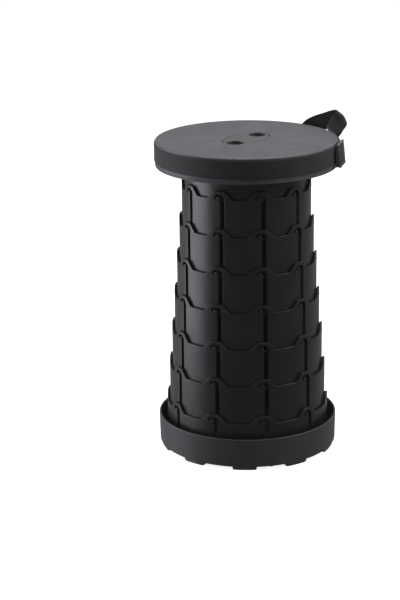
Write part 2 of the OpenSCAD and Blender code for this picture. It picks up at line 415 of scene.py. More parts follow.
def lathe(shell, outline, closed=True, centre=(0, 0), steps=ROUND_STEPS):
    """Turns a flat outline of (radius, height) about a vertical axis."""
    rows = []
    for spot, out in outline:
        row = []
        for angle in around(steps):
            ray = polar(1, angle)
            place = ray * spot.x + Vector((centre[0], centre[1], spot.y))
            normal = ray * out.x + UP * out.y
            row.append(shell.point(place, normal, min(1, abs(out.x * out.y) * 2)))
        rows.append(row)
    shell.skin(rows + rows[:1] if closed else rows, flipped=True)


def tube(shell, inner, outer, low, high, corners, centre=(0, 0), steps=ROUND_STEPS):
    """An upright tube. Its corners are radii, from the foot's inner edge round to the top's."""
    spots = zip((inner, outer, outer, inner), (low, low, high, high), corners)
    lathe(shell, rounded(list(spots)), centre=centre, steps=steps)


def stud(shell, place, u, v, radius, height, sunk, dome=0.5, steps=24):
    """A round stud on a surface, with a domed top and its foot sunk into the surface."""
    base, face, along, up = place(u, v)
    stations = [(radius, -sunk, 0.0)]
    crown = min(height, radius * dome)
    for s in range(5):
        lean = pi / 2 * s / 4
        stations.append((radius - crown * (1 - cos(lean)), height - crown * (1 - sin(lean)), lean))
    rows = []
    for reach, rise, lean in stations:
        row = []
        for angle in around(steps):
            ray = along * cos(angle) + up * sin(angle)
            normal = ray * cos(lean) + face * sin(lean)
            row.append(shell.point(base + ray * reach + face * rise, normal, lean * 0.4))
        rows.append(row)
    shell.skin(rows, flipped=True)
    top = shell.point(base + face * height, face)
    foot = shell.point(base - face * sunk, -face)
    for k in range(steps):
        n = (k + 1) % steps
        shell.face(rows[-1][k], rows[-1][n], top)
        shell.face(rows[0][n], rows[0][k], foot)


# ---- materials

class Nodes:
    """A new material's or world's nodes, with short calls for those that they share."""

    def __init__(self, name, kind="materials", shader="Principled BSDF"):
        self.owner = getattr(bpy.data, kind).new(name)
        self.owner.use_nodes = True
        self.tree = self.owner.node_tree
        self.shader = self.tree.nodes[shader]

    def set(self, name, value):
        """Gives one of the shader's sockets a plain value."""
        self.shader.inputs[name].default_value = value

    def node(self, kind, **settings):
        made = self.tree.nodes.new(kind)
        for key, value in settings.items():
            setattr(made, key, value)
        return made

    def link(self, source, target):
        self.tree.links.new(source, target)

    def feed(self, target, value):
        """Sets a socket to a number or colour, or links it to another socket."""
        if isinstance(value, bpy.types.NodeSocket):
            self.link(value, target)
        else:
            target.default_value = value

    def op(self, operation, *values):
        """The result of a maths node on numbers or sockets."""
        made = self.node("ShaderNodeMath", operation=operation)
        for socket, value in zip(made.inputs, values):
            self.feed(socket, value)
        return made.outputs[0]

    def spot(self):
        """The shaded spot's place in the object's own coordinates, which are the stool's."""
        return self.node("ShaderNodeTexCoord").outputs["Object"]

    def split(self, vector):
        """The x, y and z of a vector."""
        made = self.node("ShaderNodeSeparateXYZ")
        self.link(vector, made.inputs[0])
        return made.outputs

    def joined(self, *numbers):
        """The vector of up to three numbers."""
        made = self.node("ShaderNodeCombineXYZ")
        for socket, value in zip(made.inputs, numbers):
            self.feed(socket, value)
        return made.outputs[0]

    def noise(self, scale, detail=3.0, vector=None, distortion=0.0):
        made = self.node("ShaderNodeTexNoise")
        made.inputs["Scale"].default_value = scale
        made.inputs["Detail"].default_value = detail
        made.inputs["Distortion"].default_value = distortion
        self.link(vector or self.spot(), made.inputs["Vector"])
        return made.outputs["Fac"]

    def span(self, value, low, high, to_low, to_high):
        """Value moved from the range low to high into another range, and kept inside it."""
        made = self.node("ShaderNodeMapRange")
        for socket, number in zip(made.inputs[1:5], (low, high, to_low, to_high)):
            socket.default_value = number
        self.link(value, made.inputs[0])
        return made.outputs[0]

    def mix(self, factor, first, second):
        made = self.node("ShaderNodeMix", data_type="RGBA")
        self.feed(made.inputs[0], factor)
        self.feed(made.inputs[6], first)
        self.feed(made.inputs[7], second)
        return made.outputs[2]

    def attribute(self, name, output):
        return self.node("ShaderNodeAttribute", attribute_name=name).outputs[output]

    def rubbed(self, scale, low, high, least, most):
        """How far edges are rubbed pale, which differs from patch to patch."""
        patches = self.span(self.noise(scale, 4), low, high, least, most)
        return self.op("MULTIPLY", self.attribute("worn", "Fac"), patches)

    def bump(self, height, strength, distance, under=None):
        made = self.node("ShaderNodeBump")
        made.inputs["Strength"].default_value = strength
        made.inputs["Distance"].default_value = distance
        self.link(height, made.inputs["Height"])
        if under:
            self.link(under, made.inputs["Normal"])
        return made.outputs[0]

    def finished(self, tone, roughness, normal):
        """The material, with its colour, roughness and bump in place."""
        self.link(tone, self.shader.inputs["Base Color"])
        self.link(roughness, self.shader.inputs["Roughness"])
        self.link(normal, self.shader.inputs["Normal"])
        return self.owner


def grey(value, tint=0.0):
    """A grey that leans slightly to violet for a tint above 0."""
    return (value * (1 - 0.4 * tint), value * (1 - tint), value * (1 + 1.6 * tint), 1)


def moulded_plastic(name, base, rough, wear=0.5, tint=0.02):
    """Moulded plastic with a fine grain, cloudy gloss and paler, rubbed edges."""
    m = Nodes(name)
    clouds = m.noise(22, 4)
    specks = m.noise(700, 2)
    tone = m.mix(m.span(clouds, 0.3, 0.7, 0, 1), grey(base * 0.86, tint), grey(base * 1.16, tint))
    tone = m.mix(m.span(specks, 0.62, 0.75, 0, 0.3), tone, grey(base * 1.9, tint))
    tone = m.mix(m.rubbed(90, 0.42, 0.68, 0, wear), tone, grey(base * 3.0, tint))
    gloss = m.op("ADD", m.span(clouds, 0.25, 0.75, rough - 0.05, rough + 0.05),
                 m.span(specks, 0.3, 0.7, -0.03, 0.03))
    waves = m.bump(m.noise(38, 1), 0.25, 0.00018)
    return m.finished(tone, gloss, m.bump(m.noise(2600, 2), 0.7, 0.00003, waves))


def seat_plastic(name, base, rough):
    """The seat's plastic: a matt grain, and the faint fan of marks that the mould's flow leaves."""
    m = Nodes(name)
    tint = 0.045
    x, y, _ = m.split(m.spot())
    angle = m.op("ARCTAN2", y, x)
    reach = m.op("SQRT", m.op("ADD", m.op("POWER", x, 2.0), m.op("POWER", y, 2.0)))
    rays = (m.op("MULTIPLY", m.op(wave, angle), 2.2) for wave in ("SINE", "COSINE"))
    flow = m.noise(1.7, 5, m.joined(*rays, m.op("MULTIPLY", reach, 9.0)), 0.6)
    clouds = m.noise(14, 5)
    tone = m.mix(m.span(flow, 0.32, 0.68, 0, 1), grey(base * 0.8, tint), grey(base * 1.22, tint))
    tone = m.mix(m.span(clouds, 0.35, 0.8, 0, 0.5), tone, grey(base * 1.25, tint))
    scuffs = m.op("MULTIPLY", m.span(m.noise(160, 6), 0.58, 0.72, 0, 1),
                  m.span(clouds, 0.4, 0.6, 0.05, 0.5))
    tone = m.mix(scuffs, tone, grey(base * 2.0, tint))
    tone = m.mix(m.rubbed(60, 0.4, 0.7, 0.08, 0.25), tone, grey(base * 2.4, tint))
    gloss = m.op("ADD", m.span(flow, 0.3, 0.7, rough - 0.05, rough + 0.04),
                 m.span(clouds, 0.3, 0.7, -0.03, 0.04))
    pebbles = m.node("ShaderNodeTexVoronoi", feature="SMOOTH_F1")
    pebbles.inputs["Scale"].default_value = 1500
    m.link(m.spot(), pebbles.inputs["Vector"])
    grain = m.bump(pebbles.outputs["Distance"], 0.5, 0.00006)
    return m.finished(tone, gloss, m.bump(m.noise(30, 2), 0.2, 0.0002, grain))


def webbing(name, base):
    """Woven webbing: crossing yarns from the weave attribute, with painted shade in their gaps and a
    soft sheen.
    """
    m = Nodes(name)
    along_yarn = 0.0016
    across_yarn = 0.0013
    length, width, _ = m.split(m.attribute("weave", "Vector"))
    along = m.op("DIVIDE", length, along_yarn)
    across = m.op("DIVIDE", width, across_yarn)
    warp = m.op("ABSOLUTE", m.op("SINE", m.op("MULTIPLY", across, pi)))
    weft = m.op("ABSOLUTE", m.op("SINE", m.op("MULTIPLY", along, pi)))
    parity = m.op("FLOORED_MODULO", m.op("ADD", m.op("FLOOR", along), m.op("FLOOR", across)), 2.0)
    over = m.op("MULTIPLY", parity,
                m.op("MULTIPLY", warp, m.op("ADD", 0.6, m.op("MULTIPLY", weft, 0.4))))
    under = m.op("MULTIPLY", m.op("SUBTRACT", 1.0, parity),
                 m.op("MULTIPLY", weft, m.op("ADD", 0.35, m.op("MULTIPLY", warp, 0.45))))
    yarn = m.op("ADD", over, under)
    fuzz = m.noise(1800, 3)
    patches = m.noise(55, 4)
    # Painted shade: the colour darkens where the yarn height drops, in the gaps between yarns and where
    # they dip under
    tone = m.mix(m.span(yarn, 0.15, 0.95, 0, 1), grey(base * 0.35, 0.02), grey(base * 1.25, 0.02))
    lines = m.joined(m.op("MULTIPLY", length, 9.0), m.op("MULTIPLY", width, 420.0))
    streaks = m.noise(1.0, 3, lines)
    tone = m.mix(m.span(streaks, 0.4, 0.7, 0, 0.4), tone, grey(base * 2.0, 0.03))
    tone = m.mix(m.span(patches, 0.35, 0.75, 0, 0.45), tone, grey(base * 1.6, 0.02))
    tone = m.mix(m.span(fuzz, 0.6, 0.8, 0, 0.35), tone, grey(base * 3.2, 0.02))
    m.set("Sheen Weight", 0.12)
    m.set("Sheen Roughness", 0.45)
    m.set("Specular IOR Level", 0.35)
    weave = m.bump(yarn, 0.9, 0.00028)
    return m.finished(tone, m.span(yarn, 0, 1, 0.82, 0.6), m.bump(fuzz, 0.4, 0.00008, weave))


def rubber(name):
    """Soft black rubber with a dusty bloom."""
    m = Nodes(name)
    dust = m.span(m.noise(120, 5), 0.5, 0.75, 0, 0.6)
    return m.finished(m.mix(dust, grey(0.018), grey(0.06)), m.span(m.noise(300, 3), 0.3, 0.7, 0.72, 0.9),
                      m.bump(m.noise(900, 3), 0.6, 0.0001))


def screw_steel(name):
    """Zinc-plated steel, stained in patches."""
    m = Nodes(name)
    m.set("Metallic", 1.0)
    stain = m.span(m.noise(400, 4), 0.35, 0.7, 0, 1)
    return m.finished(m.mix(stain, (0.62, 0.63, 0.66, 1), (0.42, 0.42, 0.42, 1)),
                      m.span(m.noise(1500, 2), 0.3, 0.7, 0.28, 0.45),
                      m.bump(m.noise(2500, 2), 0.4, 0.00004))


def thread(name):
    """Pale sewing thread, uneven along its length."""
    m = Nodes(name)
    twist = m.span(m.noise(2200, 2), 0.3, 0.7, 0, 1)
    return m.finished(m.mix(twist, grey(0.05), grey(0.16)), m.span(twist, 0, 1, 0.8, 0.6),
                      m.bump(twist, 0.5, 0.0001))


RING_PLASTIC = moulded_plastic("ring_plastic", 0.016, 0.35)
BASE_PLASTIC = moulded_plastic("base_plastic", 0.055, 0.46)
SEAT_PLASTIC = seat_plastic("seat_plastic", 0.078, 0.5)
INSERT_PLASTIC = moulded_plastic("insert_plastic", 0.078, 0.37, wear=0.35)
BUCKLE_PLASTIC = moulded_plastic("buckle_plastic", 0.085, 0.38, wear=0.9)
WEBBING = webbing("webbing", 0.026)
PAD_RUBBER = rubber("pad_rubber")
SCREW_STEEL = screw_steel("screw_steel")
THREAD = thread("thread")


# ---- rings

def ring_r(i):
    """The outer radius of a ring, counted from the smallest."""
    return RING_R1 + RING_STEP * (i - 1)


def shoulder(i):
    """The height of a ring's upper edge between its arches."""
    return LOWEST_SHOULDER + RING_PITCH * (RING_COUNT - i)


def bottom(i):
    """The height of a ring's lower edge."""
    return shoulder(i) - RING_HEIGHT


def arch_direction(i):
    """The direction of the middle of a ring's first arch."""
    return SLOT_ANGLE + RING_TURN * (RING_COUNT - i) - SLOT_U / ring_r(i)


def at_arch(i, k):
    """Places on a ring's wall, measured from the middle of its arch k."""
    return on_cylinder(ring_r(i), arch_direction(i) + 2 * pi * k / ARCHES)


def hook_outline(i):
    """The hooked cut in an arch: a long slot, a turn over the top and a short leg."""
    z = shoulder(i)
    left, right = LEG_U - LEG_W / 2, SLOT_U + SLOT_W / 2
    tongue_left, tongue_right = LEG_U + LEG_W / 2, SLOT_U - SLOT_W / 2
    top = z + ARCH_HEIGHT - HOOK_BAND
    return rounded([
        (tongue_right, bottom(i) + SLOT_FOOT, 0.0012), (right, bottom(i) + SLOT_FOOT, 0.0012),
        (right, top, 0.006), (left, top, 0.0048), (left, z + LEG_FOOT, 0.0009),
        (tongue_left, z + LEG_FOOT, 0.0009), (tongue_left, top - LEG_W, 0.0022),
        (tongue_right, top - LEG_W, 0.0032),
    ])


def ring_sector(i):
    """One arch of a ring, drawn flat: half its width, its upper and lower edge, and its cut."""
    half = pi * ring_r(i) / ARCHES
    z = shoulder(i)
    crest = z + ARCH_HEIGHT
    top = rounded([
        (half, z, 0), (ARCH_FOOT, z, 0.003), (ARCH_CREST, crest, 0.006),
        (-ARCH_CREST, crest, 0.006), (-ARCH_FOOT, z, 0.003), (-half, z, 0),
    ], closed=False)
    low = rounded([(-half, bottom(i), 0), (half, bottom(i), 0)], closed=False)
    hook = spaced(backwards(hook_outline(i)), 0.003)
    return half, spaced(top, 0.003, False), spaced(low, half / 6, False), hook


def scalloped_wall(shell, i):
    """A whole ring of arches with hooked cuts and rounded edges."""
    fillet = EDGE
    row_step = 0.007
    half, top, low, hook = ring_sector(i)
    seam_low = bottom(i) + fillet
    seam_high = shoulder(i) - fillet
    seam_rows = round((seam_high - seam_low) / row_step)
    seam = [seam_low + (seam_high - seam_low) * k / seam_rows for k in range(1, seam_rows)]
    border = [spot - out * fillet for spot, out in low]
    border += [Vector((half, z)) for z in seam]
    border += [spot - out * fillet for spot, out in top]
    border += [Vector((-half, z)) for z in reversed(seam)]
    hole = [spot - out * fillet for spot, out in hook]
    inner = grid_between(border, [hole], half / 6, row_step, 0.0012)
    points, triangles = triangles_between(border, [hole], inner)
    for k in range(ARCHES):
        place = at_arch(i, k)
        rows = {}
        for name, chain in (("low", low), ("top", top), ("hook", hook)):
            rows[name] = edge_rows(shell, chain, place, RING_T, fillet)
            shell.skin(rows[name], closed=name == "hook")
        for side in (0, -1):
            numbers = [None] * len(points)
            start = 0
            for name, count in (("low", len(seam)), ("top", len(seam)), ("hook", 0)):
                row = rows[name][side]
                numbers[start:start + len(row)] = row
                start += len(row) + count
            for n, p in enumerate(points):
                if numbers[n] is None:
                    base, face, _, _ = place(p.x, p.y)
                    depth = -side * RING_T
                    numbers[n] = shell.point(base - face * depth, face if side == 0 else -face)
            for a, b, c in triangles:
                corners = (a, b, c) if side == 0 else (a, c, b)
                shell.face(*(numbers[n] for n in corners))


def rim_bead(shell, i):
    """A low bead inside the scalloped edge that narrows the gap to the next smaller ring."""
    high, low, buried = 0.0003, 0.0022, RING_T - 0.0003
    reach = RING_T + RIM_BEAD
    _, top, _, _ = ring_sector(i)
    rows = []
    corners = [(high, buried, 1, 0), (high, reach, 1, 1), (low, reach, -1, 1), (low, buried, -1, 0)]
    for inset, depth, tip, lean in corners:
        row = []
        for k in range(ARCHES, 0, -1):
            place = at_arch(i, k)
            for spot, out in top:
                at = spot - out * inset
                base, face, along, up = place(at.x, at.y)
                normal = (along * out.x + up * out.y) * tip - face * lean
                row.append(shell.point(base - face * depth, normal))
        rows.append(row)
    shell.skin(rows + rows[:1])


def pegs(shell, i):
    """Short bayonet pegs near a ring's bottom edge, in line with the next ring's short legs."""
    first = arch_direction(i + 1) + LEG_U / ring_r(i + 1)
    for turn in around(ARCHES, first):
        place = on_cylinder(ring_r(i), turn)
        stud(shell, place, 0, bottom(i) + PEG_RISE, PEG_R, PEG_HEIGHT, sunk=0.0005)


def tongue_studs(shell, i):
    """The small round stud on the tongue inside each hooked cut."""
    for k in range(ARCHES):
        stud(shell, at_arch(i, k), -0.0013, shoulder(i) + 0.0016, radius=0.0015, height=0.0005,
             sunk=0.0003, dome=0.28)


def screw_lugs(shell):
    """The bosses outside the lowest ring that its screws go up into."""
    height = 0.014
    z = bottom(RING_COUNT)
    for turn in around(SCREWS, BASE_SCREW_OFFSET):
        middle = polar(BASE_SCREW_AT, turn)
        tube(shell, BOSS_BORE, BOSS_R, z, z + height, (0.0001, 0.0004, 0.0006, 0.0001), middle, 28)
        inner_x = ring_r(RING_COUNT) - 0.0008
        outer_x = BASE_SCREW_AT - 0.003
        web = rectangle(inner_x, outer_x, -0.002, 0.002, 0)
        slab(shell, web, [], facing_up(z + height - 0.0003, turn), height - 0.0006, 0.0003)


def build_rings():
    """The seven scalloped rings, each on its own body, with the lowest on the base."""
    for i in range(RING_COUNT, 1, -1):
        shell = Shell()
        scalloped_wall(shell, i)
        rim_bead(shell, i)
        tongue_studs(shell, i)
        if i < RING_COUNT:
            pegs(shell, i)
        else:
            screw_lugs(shell)
        body = "base" if i == RING_COUNT else f"ring_{i}"
        shell.piece(f"ring_{i}_wall", body, RING_PLASTIC, "ring_plastic", f"ring_{i}")


def build_top_ring():
    """The plain ring under the seat, with the inner flange that is screwed to the seat."""
    shell = Shell()
    inner = RING_R1 - RING_T
    flange_in = inner - FLANGE_W
    lathe(shell, rounded([
        (RING_R1, bottom(1), 0.0006), (RING_R1, SEAT_PLATE_Z, 0.0003), (inner, SEAT_PLATE_Z, 0.0003),
        (inner, FLANGE_Z + FLANGE_T, 0.0005), (flange_in, FLANGE_Z + FLANGE_T, 0.0005),
        (flange_in, FLANGE_Z, 0.0005), (inner, FLANGE_Z, 0.0005), (inner, bottom(1), 0.0006),
    ]))
    pegs(shell, 1)
    shell.piece("ring_1_wall", "seat", RING_PLASTIC, "ring_plastic", "ring_1")


# ---- base

def sector_outline(inner_r, outer_r, half_angle, corner):
    """A piece of a flat ring about +X, with rounded corners."""
    steps = 6
    corners = []
    for radius, way in ((outer_r, 1), (inner_r, -1)):
        for k in range(steps + 1):
            a = half_angle * (2 * k / steps - 1) * way
            corners.append((radius * cos(a), radius * sin(a), corner if k in (0, steps) else 0))
    return rounded(corners)


def rectangle(x0, x1, y0, y1, corner):
    """The outline of a rectangle with rounded corners."""
    return rounded([(x0, y0, corner), (x1, y0, corner), (x1, y1, corner), (x0, y1, corner)])


def build_base():
    """The foot tray with its feet and ribs, moulded in one."""
    shell = Shell()
    wall_in = BASE_R - BASE_T
    lathe(shell, rounded([
        (0, BASE_Z, 0), (BASE_R - 0.0008, BASE_Z, 0.0024), (BASE_R, BASE_RIM, 0.0008),
        (wall_in, BASE_RIM, 0.0008), (wall_in - 0.0008, FLOOR_Z, 0.0012), (0, FLOOR_Z, 0),
    ], closed=False), closed=False)
    foot = sector_outline(FOOT_R - FOOT_DEPTH, FOOT_R, FOOT_ANGLE / 2, 0.0018)
    rib = rectangle(0.031, FOOT_R - FOOT_DEPTH + 0.001, -0.001, 0.001, 0.0004)
    rib_z = PAD_T + 0.0008
    for r in BASE_RIBS:
        tube(shell, r - 0.002, r, rib_z, BASE_Z + 0.0003, RIB_CORNERS)
    for turn in around(FEET, FOOT_OFFSET):
        slab(shell, foot, [], facing_down(PAD_T, turn), BASE_Z - PAD_T + 0.0005, 0.0006)
        slab(shell, rib, [], facing_down(rib_z, turn), BASE_Z - rib_z + 0.0003, 0.0003)
    shell.piece("tray", "base", BASE_PLASTIC, "base_plastic", "base_tray")


def build_pads():
    """Anti-slip pads under the feet."""
    shell = Shell()
    margin = 0.0008
    pad = sector_outline(FOOT_R - FOOT_DEPTH + margin, FOOT_R - margin,
                         FOOT_ANGLE / 2 - radians(0.4), 0.0016)
    for turn in around(FEET, FOOT_OFFSET):
        slab(shell, pad, [], facing_down(0, turn), PAD_T + 0.0001, 0.0005)
    shell.piece("pads", "base", PAD_RUBBER, "pad_rubber", "foot_pads")


# ---- screws

def screw_set(name, body, at, offset, z, length, node):
    """Pan-head screws on a circle, heads down, each with a cross recess."""
    head_r, head_h, recess, bar, arm = 0.0031, 0.0018, 0.0009, 0.00035, 0.0017
    rim = ellipse(head_r, head_r, 36)
    corners = [(arm, -bar), (arm, bar), (bar, bar)]
    for _ in range(3):
        corners += [(-y, x) for x, y in corners[-3:]]
    cross = rounded([(x, y, 0.0001) for x, y in corners])
    layers = [(0, recess, [cross], 0.0007), (recess, head_h - recess, [], 0.0001)]
    shell = Shell()
    for turn in around(SCREWS, offset):
        middle = polar(at, turn)
        shank = [(0, z, 0), (SCREW_R, z, 0), (SCREW_R, z + length, 0.0005), (0, z + length, 0)]
        lathe(shell, rounded(shank, closed=False), closed=False, centre=middle, steps=20)
        for sunk, thickness, holes, fillet in layers:
            origin = middle + UP * (z - head_h + sunk)
            face = on_plane(origin, Vector((1, 0, 0)), Vector((0, -1, 0)))
            slab(shell, rim, holes, face, thickness, fillet, 0.001, hole_fillet=0.00008)
    shell.piece(name, body, SCREW_STEEL, "screw_steel", node)


# ---- seat

def seat_surface(shell, outline, steps=ROUND_STEPS):
    """Turns the seat's section, changing from the oval hole near the middle to circles outside."""
    hole_long = INSERT_LONG + INSERT_GAP
    hole_short = INSERT_SHORT + INSERT_GAP
    last_oval = 0.010
    first_circle = 0.064
    turned = Matrix.Rotation(FINGER_TURN, 3, "Z")
    rows = []
    for spot, out in outline:
        row = []
        for a in around(steps):
            grow = min(spot.x, last_oval)
            long, short = hole_long + grow, hole_short + grow
            oval = Vector((long * cos(a), short * sin(a), 0))
            oval_out = Vector((short * cos(a), long * sin(a), 0)).normalized()
            round_out = polar(1, a)
            share = min(1, max(0, (spot.x - last_oval) / (first_circle - last_oval)))
            place = oval.lerp(round_out * max(spot.x, first_circle), share)
            ray = oval_out if share == 0 else round_out
            place = turned @ place + UP * spot.y
            normal = (turned @ ray) * out.x + UP * out.y
            row.append(shell.point(place, normal, min(1, abs(out.x * out.y) * 2)))
        rows.append(row)
    shell.skin(rows + rows[:1], flipped=True)


def build_seat():
    """The seat disc with its side, the bed for the webbing, and the ribs underneath."""
    shell = Shell()
    inner = SEAT_R - SEAT_SIDE_T
    lip_top = SEAT_FOOT + LOWER_LIP
    line = 0.0005
    corners = [
        (0, SEAT_PLATE_Z, 0.0003), (inner, SEAT_PLATE_Z, 0.0012), (inner, SEAT_FOOT, 0.0008),
        (SEAT_R, SEAT_FOOT, 0.001), (SEAT_R, SEAT_FOOT + 0.0026, 0.0002),
        (SEAT_R - line, SEAT_FOOT + 0.003, 0.0002), (SEAT_R - line, SEAT_FOOT + 0.0034, 0.0002),
        (SEAT_R, SEAT_FOOT + 0.0038, 0.0002), (SEAT_R, lip_top, 0.0002),
        (WEB_BED_R, lip_top, 0.0001), (WEB_BED_R, SEAT_TOP - UPPER_LIP, 0.0001),
        (SEAT_R, SEAT_TOP - UPPER_LIP, 0.0002), (SEAT_R, SEAT_TOP, 0.0021), (0, SEAT_TOP, 0.0004),
    ]
    seat_surface(shell, spaced(rounded(corners), 0.01))
    hub, rib_t, rib_h = 0.055, 0.002, 0.008
    low = SEAT_PLATE_Z - rib_h
    buried = SEAT_PLATE_Z + 0.0004
    tube(shell, hub - rib_t, hub, low, buried, RIB_CORNERS)
    rib = rectangle(hub - 0.0005, RING_R1 - RING_T - 0.0003, -rib_t / 2, rib_t / 2, 0.0004)
    for turn in around(ARCHES, pi / ARCHES):
        slab(shell, rib, [], facing_down(low, turn), buried - low, 0.0004)
    boss_z = FLANGE_Z + FLANGE_T
    for turn in around(SCREWS):
        middle = polar(SEAT_SCREW_AT, turn)
        tube(shell, BOSS_BORE, BOSS_R, boss_z, buried, (0.0001, 0.0004, 0.0001, 0.0001), middle, 28)
    shell.piece("seat", "seat", SEAT_PLASTIC, "seat_plastic", "seat_plate")


def build_insert():
    """The oval insert with its two finger holes and the collars below them."""
    shell = Shell()
    top = SEAT_TOP - 0.00015
    low = SEAT_PLATE_Z - 0.001
    holes = []
    for side in (-1, 1):
        hole = ellipse(FINGER_R, FINGER_R, 56)
        holes.append([(spot + Vector((side * FINGER_AT, 0)), out) for spot, out in hole])
    slab(shell, ellipse(INSERT_LONG, INSERT_SHORT, 132), holes, facing_up(top, FINGER_TURN),
         top - low, 0.0005, 0.006, hole_fillet=0.0005)
    flange = ellipse(INSERT_LONG + 0.0036, INSERT_SHORT + 0.0036, 132)
    wide_holes = [[(spot + out * 0.0006, out) for spot, out in hole] for hole in holes]
    slab(shell, flange, wide_holes, facing_up(SEAT_PLATE_Z - 0.0001, FINGER_TURN),
         0.0022, 0.0004, 0.006)
    for side in (-1, 1):
        middle = polar(side * FINGER_AT, FINGER_TURN)
        tube(shell, FINGER_R, FINGER_R + COLLAR_T, SEAT_PLATE_Z - COLLAR_DEPTH, low + 0.0012,
             (0.0006, 0.0006, 0.0001, 0.0001), middle, 56)
    shell.piece("finger_grip", "seat", INSERT_PLASTIC, "insert_plastic", "finger_insert")


# ---- webbing

def across_of(lean, lean_turn):
    """The direction from a strap's middle to its lower edge."""
    return polar(sin(lean), lean_turn, -cos(lean))


def between(stops, s):
    """A smooth value along the stops, which are lists of numbers."""
    last = len(stops) - 1
    k = min(last - 1, int(s))
    t = s - k
    a, b, c, d = (stops[max(0, min(last, k + j))] for j in (-1, 0, 1, 2))
    return [
        0.5 * (2 * q + (r - p) * t + (2 * p - 5 * q + 4 * r - w) * t * t
               + (3 * q - p - 3 * r + w) * t ** 3)
        for p, q, r, w in zip(a, b, c, d)
    ]


class Strap:
    """Flat webbing along a route of stops (direction, radius, rise, lean, lean's direction).

    Its curls (stop, reach, height) are where it bulges outwards in the middle of its width.
    """

    def __init__(self, stops, wave=0.0, curls=()):
        self.stops = stops
        self.last = len(stops) - 1
        self.wave = wave
        self.curls = curls
        self.lengths = [0.0]
        self.samples = 40 * self.last
        for k in range(self.samples):
            here, there = (self.middle(n / self.samples * self.last) for n in (k, k + 1))
            self.lengths.append(self.lengths[-1] + (there - here).length)

    def middle(self, s):
        """The point in the middle of the webbing at s, which counts the stops."""
        angle, radius, rise, _, _ = between(self.stops, s)
        return polar(radius, angle, WEB_Z + rise)

    def frame(self, s):
        """The middle, the way to the lower edge, the outward face and the run at s."""
        near, far = max(0, s - 0.01), min(self.last, s + 0.01)
        run = (self.middle(far) - self.middle(near)).normalized()
        _, _, _, lean, lean_turn = between(self.stops, s)
        across = across_of(lean, lean_turn)
        face = across.cross(run).normalized()
        return self.middle(s), run.cross(face).normalized(), face, run

    def length_at(self, s):
        """The length of webbing from its start to s."""
        return self.lengths[min(self.samples, round(s / self.last * self.samples))]

    def surface(self, s, share, height):
        """A point at a share across the webbing, from -1 to 1, and a height off its middle."""
        middle, across, face, _ = self.frame(s)
        for at, reach, rise in self.curls:
            height += rise * exp(-((s - at) / reach) ** 2) * (1 - share ** 2)
        ripple = self.wave * noise(Vector((self.length_at(s) * 90, share * 1.4, 3.7)))
        return middle + across * (share * SHOWN_W / 2) + face * (height + ripple)

    def normal(self, s, share):
        """The outward normal of the curled webbing."""
        step = 0.02
        near, far = max(0, s - step), min(self.last, s + step)
        along = self.surface(far, share, 0) - self.surface(near, share, 0)
        aside = self.surface(s, share + step, 0) - self.surface(s, share - step, 0)
        return aside.cross(along).normalized()

    def fill(self, shell, sections):
        """Adds the webbing to a shell."""
        half_w, half_t, edge = SHOWN_W / 2, WEB_T / 2, 0.0006
        outline = spaced(rectangle(-half_w, half_w, -half_t, half_t, edge), 0.0022)
        rows = []
        for k in range(sections + 1):
            s = self.last * k / sections
            _, across, _, _ = self.frame(s)
            row = []
            for spot, out in outline:
                place = self.surface(s, spot.x / half_w, spot.y)
                weave = (self.length_at(s), spot.x, 0)
                face = self.normal(s, spot.x / half_w)
                row.append(shell.point(place, across * out.x + face * out.y, abs(out.x), weave))
            rows.append(row)
        shell.bar(rows)


def rim_route():
    """Once round the seat's side, with the cut ends meeting under the buckle."""
    radius = WEB_BED_R + 0.0001 + WEB_T / 2
    gap = radians(0.6)
    turns = [BUCKLE_ANGLE + gap + (2 * pi - 2 * gap) * k / 60 for k in range(61)]
    return [[a, radius, 0, 0, a] for a in turns]


# The handle's route: direction in degrees, radius, rise, lean in degrees and the lean's direction,
# from the loose tail at the back, round the rim, out into the loop and back to the buckle
HANDLE_STOPS = [
    (132, 0.132, 0, 0, 132), (121, 0.129, 0, 0, 121), (108, 0.1274, 0, 0, 108),
    (92, 0.1274, 0, 0, 92), (76, 0.1274, 0, 0, 76), (63, 0.1275, 0, 0, 63),
    (55, 0.1288, 0, 0, 50), (50, 0.131, 0.003, 6, 40), (46.5, 0.134, 0.011, 12, 30),
    (42, 0.1375, 0.017, 20, 20), (36.5, 0.1415, 0.0225, 28, 8), (31.5, 0.1468, 0.0277, 34, 2),
    (28.6, 0.1494, 0.0292, 37, 0), (27, 0.1472, 0.0261, 36, 0), (26.4, 0.1396, 0.0181, 36, 2),
    (25.3, 0.1332, 0.0091, 30, 8), (20, 0.131, 0.0025, 14, 14), (12, 0.1287, 0, 3, 12),
    (3, 0.1274, 0, 0, 3), (-8, 0.1274, 0, 0, -8), (-18, 0.1274, 0, 0, -18),
]


def handle_route():
    """The stops in radians, from the buckle to the tail, so that the webbing's face is outwards."""
    return [[radians(a), r, rise, radians(lean), radians(turn)]
            for a, r, rise, lean, turn in reversed(HANDLE_STOPS)]


def stitch_rows(strap, tacks):
    """Bar tacks: zigzags of raised thread, each at (start, end, share, share, turns)."""
    curve = bpy.data.curves.new("handle_stitches", "CURVE")
    curve.dimensions = "3D"
    curve.bevel_depth = 0.00022
    curve.bevel_resolution = 2
    for start, end, low, high, turns in tacks:
        line = curve.splines.new("POLY")
        line.points.add(turns)
        for k in range(turns + 1):
            s = start + (end - start) * (k % 2)
            share = low + (high - low) * k / turns
            line.points[k].co = (*strap.surface(s, share, WEB_T / 2 + 0.00008), 1)
    curve.materials.append(THREAD)
    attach(in_scene("handle_stitches", curve), "seat")


